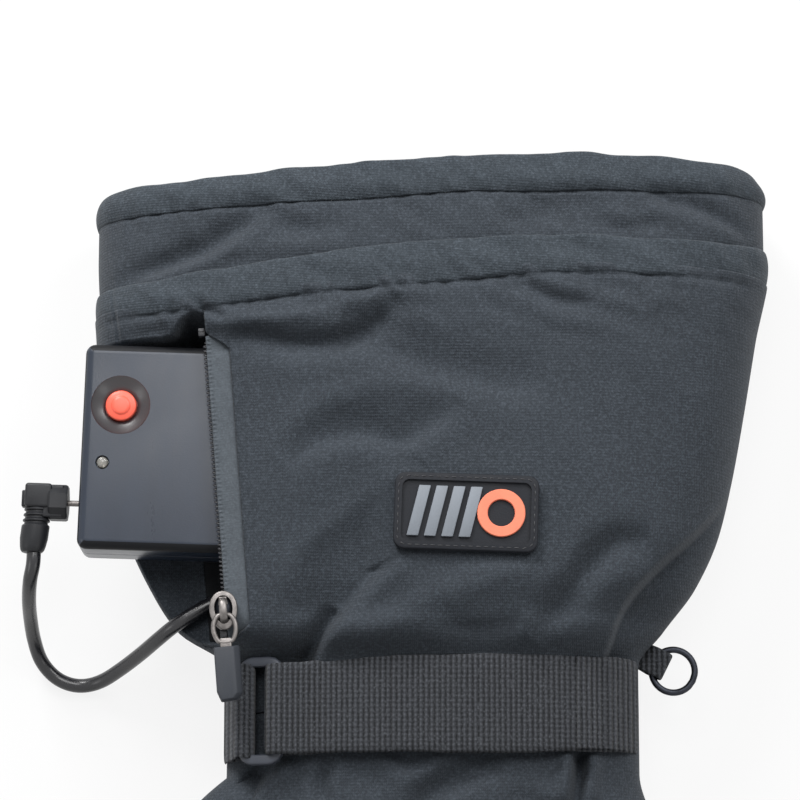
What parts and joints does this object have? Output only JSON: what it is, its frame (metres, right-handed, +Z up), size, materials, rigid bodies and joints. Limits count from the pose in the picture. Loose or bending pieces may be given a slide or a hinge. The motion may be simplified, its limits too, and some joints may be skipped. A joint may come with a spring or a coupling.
{
  "type": "heated mitten",
  "caption": "Insulated winter mitten with a flared cuff, zipped battery pocket, heating pad, wrist strap and a pull-out battery pack on a short cord.",
  "frame": {"origin": "middle of the wrist, on the flat underside of the palm side", "axes": "+Z up from the surface it lies on, out of the back of the hand; +Y from the fingertips to the cuff mouth; +X across the hand, away from the thumb"},
  "size_m": [0.2073, 0.351, 0.0566],
  "materials": {
    "shell_nylon": "fine ribbed weave",
    "hem_nylon": "fine ribbed weave",
    "palm_leather": "grained",
    "pocket_cloth": "plain",
    "wadding": "fibrous",
    "fleece": "pile",
    "heater_film": "satin",
    "heater_wire": "satin",
    "zip_tape": "woven",
    "zip_teeth": "satin",
    "nickel": "plated",
    "rubber": "matte",
    "webbing": "ribbed",
    "buckle_plastic": "matte",
    "dark_metal": "gloss",
    "patch_base": "matte",
    "patch_grey": "matte",
    "patch_orange": "matte",
    "case_plastic": "semi-gloss",
    "button_red": "satin",
    "led_clear": "clear",
    "board_green": "satin",
    "cell_wrap": "wrapped",
    "plug_plastic": "satin"
  },
  "bodies": {
    "mitten": {"hand_back_panel": "shell_nylon", "hand_palm_panel": "palm_leather", "thumb_panel": "shell_nylon", "cuff_palm_panel": "shell_nylon", "pocket_front_panel": "shell_nylon", "cuff_side_panel": "shell_nylon", "cuff_hem": "hem_nylon", "gaiter": "shell_nylon", "gaiter_hem": "hem_nylon", "pocket_back_lining": "pocket_cloth", "wadding": "wadding", "fleece_lining": "fleece", "heating_pad": "heater_film", "heating_wire": "heater_wire", "heater_lead": "heater_wire", "zip_tape_right": "zip_tape", "zip_teeth_right": "zip_teeth", "zip_top_stop": "nickel", "zip_bottom_stop": "nickel", "zip_tape_left": "zip_tape", "zip_teeth_left": "zip_teeth", "wrist_strap": "webbing", "strap_end_stitching": "webbing", "strap_buckle": "buckle_plastic", "strap_anchor": "webbing", "tether_tab": "webbing", "patch_base": "patch_base", "patch_bars": "patch_grey", "patch_roundel": "patch_orange", "power_cord": "plug_plastic", "cord_strain_relief": "rubber"},
    "battery_pack": {"pack_case": "case_plastic", "indicator_led": "led_clear", "circuit_board": "board_green", "push_switch": "buckle_plastic", "power_socket": "buckle_plastic", "battery_cell_1": "cell_wrap", "battery_cell_2": "cell_wrap", "battery_cell_3": "cell_wrap", "cell_contacts_near": "nickel", "cell_contacts_far": "nickel"},
    "battery_door": {"battery_door": "case_plastic"},
    "power_button": {"power_button": "button_red"},
    "power_plug": {"plug_body": "plug_plastic", "plug_barrel": "nickel"},
    "zip_slider": {"zip_slider": "nickel"},
    "zip_puller": {"zip_puller": "nickel", "zip_grip": "rubber"},
    "tether_ring": {"tether_ring": "dark_metal"}
  },
  "joints": [
    {"name": "button_press", "type": "slide", "parent": "battery_pack", "child": "power_button", "axis": [0, 0, -1], "range_m": [0, 0.0012], "stiffness_N_per_m": 800},
    {"name": "pack_slide", "type": "slide", "parent": "mitten", "child": "battery_pack", "axis": [0.9995, -0.0332, 0], "range_m": [0, 0.045]},
    {"name": "door_slide", "type": "slide", "parent": "battery_pack", "child": "battery_door", "axis": [-0.9995, 0.0332, 0], "range_m": [0, 0.06]},
    {"name": "plug_pull", "type": "slide", "parent": "mitten", "child": "power_plug", "axis": [-0.9995, 0.0332, 0], "range_m": [0, 0.011], "deforming": ["power_cord"]},
    {"name": "zip_slide", "type": "slide", "parent": "mitten", "child": "zip_slider", "axis": [-0.082, 0.9966, 0], "range_m": [0, 0.0695]},
    {"name": "zip_pull_swing", "type": "hinge", "parent": "zip_slider", "child": "zip_puller", "pos_m": [-0.05593, 0.02433, 0.05235], "axis": [-0.9966, -0.082, 0], "range_deg": [0, 160]},
    {"name": "tether_ring_swing", "type": "hinge", "parent": "mitten", "child": "tether_ring", "pos_m": [0.06149, 0.01546, 0.017], "axis": [0.4478, 0.8942, 0], "range_deg": [-30, 30]}
  ]
}
